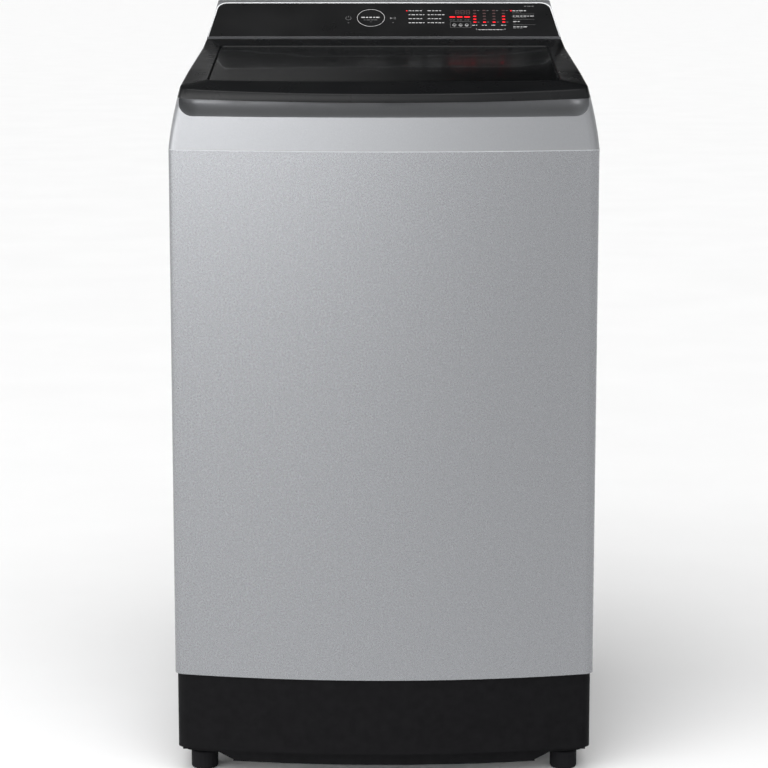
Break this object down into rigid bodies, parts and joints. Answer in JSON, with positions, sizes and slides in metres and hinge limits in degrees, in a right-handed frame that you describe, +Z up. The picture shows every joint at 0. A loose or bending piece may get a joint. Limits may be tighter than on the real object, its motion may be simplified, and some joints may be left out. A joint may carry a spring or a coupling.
{
  "type": "top load washing machine",
  "caption": "Free-standing top load washing machine with a bowed grey cabinet, dark glass lid, sloping console, suspended tub, basket and pulsator.",
  "frame": {"origin": "on the floor, under the middle of the machine", "axes": "+Z up, +X to the right of a person who faces the front, +Y to the back"},
  "size_m": [0.54, 0.568, 0.988],
  "materials": {
    "body_paint": "satin metallic grey",
    "cover_plastic": "metallic grey, semi-gloss",
    "base_plastic": "fine texture",
    "lid_gloss": "piano black",
    "smoked_glass": "dark tempered",
    "lid_matte": "fine texture",
    "trim_chrome": "bright",
    "steel": "drawn",
    "zinc_sheet": "galvanised",
    "tub_plastic": "glass filled",
    "white_plastic": "moulded",
    "grey_plastic": "moulded",
    "black_rubber": "matt",
    "cast_aluminium": "as cast",
    "gear_steel": "ground",
    "valve_blue": "moulded",
    "board_green": "solder mask"
  },
  "bodies": {
    "cabinet": {"cabinet_shell": "body_paint", "rear_panel": "zinc_sheet", "rear_panel_screws": "steel", "cord_gland": "black_rubber", "base_frame": "base_plastic", "rodent_guard": "base_plastic", "rear_feet": "black_rubber", "foot_lock_nuts": "steel", "top_cover": "cover_plastic", "hinge_blocks": "grey_plastic", "console_housing": "cover_plastic", "console_fascia": "lid_gloss", "console_trim": "trim_chrome", "display_board": "board_green", "control_board_case": "white_plastic", "inlet_valves": "valve_blue", "drain_spigot": "base_plastic", "detergent_housing": "white_plastic", "lid_switch": "base_plastic", "suspension_brackets": "zinc_sheet", "suspension_rods": "steel", "suspension_springs": "steel"},
    "lid": {"lid_frame": "lid_gloss", "lid_glass": "smoked_glass", "lid_inner_frame": "lid_matte", "hinge_pins": "steel", "lid_bumpers": "black_rubber"},
    "tub": {"outer_tub": "tub_plastic", "tub_ring": "tub_plastic", "tub_support_plate": "zinc_sheet", "tub_bolts": "steel", "ring_gear": "gear_steel", "gearbox_housing": "cast_aluminium", "spin_bearings": "gear_steel", "water_seal": "black_rubber", "motor_housing": "cast_aluminium", "drive_belt": "black_rubber", "drain_valve_body": "tub_plastic", "drain_actuator": "white_plastic", "air_trap": "tub_plastic", "suspension_cups": "white_plastic"},
    "basket": {"wash_basket": "steel", "basket_base": "white_plastic", "balance_ring": "grey_plastic", "lint_filter": "grey_plastic", "spin_tube": "gear_steel"},
    "pulsator": {"pulsator": "grey_plastic", "pulsator_bolt": "trim_chrome", "pulsator_shaft": "gear_steel"},
    "planet_1": {"planet_gear_1": "gear_steel"},
    "planet_2": {"planet_gear_2": "gear_steel"},
    "planet_3": {"planet_gear_3": "gear_steel"},
    "sun_drive": {"drive_pulley": "cast_aluminium", "sun_shaft": "gear_steel"},
    "motor_rotor": {"motor_pulley": "cast_aluminium"},
    "drain_plunger": {"drain_plunger": "black_rubber"},
    "detergent_drawer": {"detergent_drawer": "grey_plastic"},
    "front_left_foot": {"foot_front_left": "black_rubber"},
    "front_right_foot": {"foot_front_right": "black_rubber"}
  },
  "joints": [
    {"name": "lid_hinge", "type": "hinge", "parent": "cabinet", "child": "lid", "pos_m": [0, 0.062, 0.926], "axis": [-1, 0, 0], "range_deg": [0, 100]},
    {"name": "tub_bounce", "type": "slide", "parent": "cabinet", "child": "tub", "axis": [0, 0, 1], "range_m": [-0.02, 0.012], "stiffness_N_per_m": 9000, "springref_m": 0.02565, "deforming": ["suspension_springs"]},
    {"name": "pulsator_spin", "type": "hinge", "parent": "tub", "child": "pulsator", "pos_m": [0, -0.01, 0.35], "axis": [0, 0, 1], "continuous": true},
    {"name": "basket_spin", "type": "hinge", "parent": "tub", "child": "basket", "pos_m": [0, -0.01, 0.35], "axis": [0, 0, 1], "continuous": true},
    {"name": "planet_1_spin", "type": "hinge", "parent": "pulsator", "child": "planet_1", "pos_m": [0.02813, -0.01, 0.244], "axis": [0, 0, 1], "continuous": true},
    {"name": "planet_2_spin", "type": "hinge", "parent": "pulsator", "child": "planet_2", "pos_m": [-0.01406, 0.01436, 0.244], "axis": [0, 0, 1], "continuous": true},
    {"name": "planet_3_spin", "type": "hinge", "parent": "pulsator", "child": "planet_3", "pos_m": [-0.01406, -0.03436, 0.244], "axis": [0, 0, 1], "continuous": true},
    {"name": "sun_drive_spin", "type": "hinge", "parent": "tub", "child": "sun_drive", "pos_m": [0, -0.01, 0.2], "axis": [0, 0, 1], "continuous": true},
    {"name": "motor_spin", "type": "hinge", "parent": "tub", "child": "motor_rotor", "pos_m": [0, 0.125, 0.2], "axis": [0, 0, 1], "continuous": true},
    {"name": "drain_plunger_slide", "type": "slide", "parent": "tub", "child": "drain_plunger", "axis": [0, 1, 0], "range_m": [0, 0.008], "stiffness_N_per_m": 400, "springref_m": -0.004},
    {"name": "detergent_drawer_slide", "type": "slide", "parent": "cabinet", "child": "detergent_drawer", "axis": [0, -1, 0], "range_m": [0, 0.1]},
    {"name": "front_left_foot_level", "type": "slide", "parent": "cabinet", "child": "front_left_foot", "axis": [0, 0, -1], "range_m": [0, 0.015]},
    {"name": "front_right_foot_level", "type": "slide", "parent": "cabinet", "child": "front_right_foot", "axis": [0, 0, -1], "range_m": [0, 0.015]}
  ],
  "couplings": [
    {"joint": "planet_1_spin", "follows": "pulsator_spin", "ratio": -2.6667},
    {"joint": "planet_2_spin", "follows": "pulsator_spin", "ratio": -2.6667},
    {"joint": "planet_3_spin", "follows": "pulsator_spin", "ratio": -2.6667},
    {"joint": "sun_drive_spin", "follows": "pulsator_spin", "ratio": 5},
    {"joint": "motor_spin", "follows": "pulsator_spin", "ratio": 20}
  ]
}
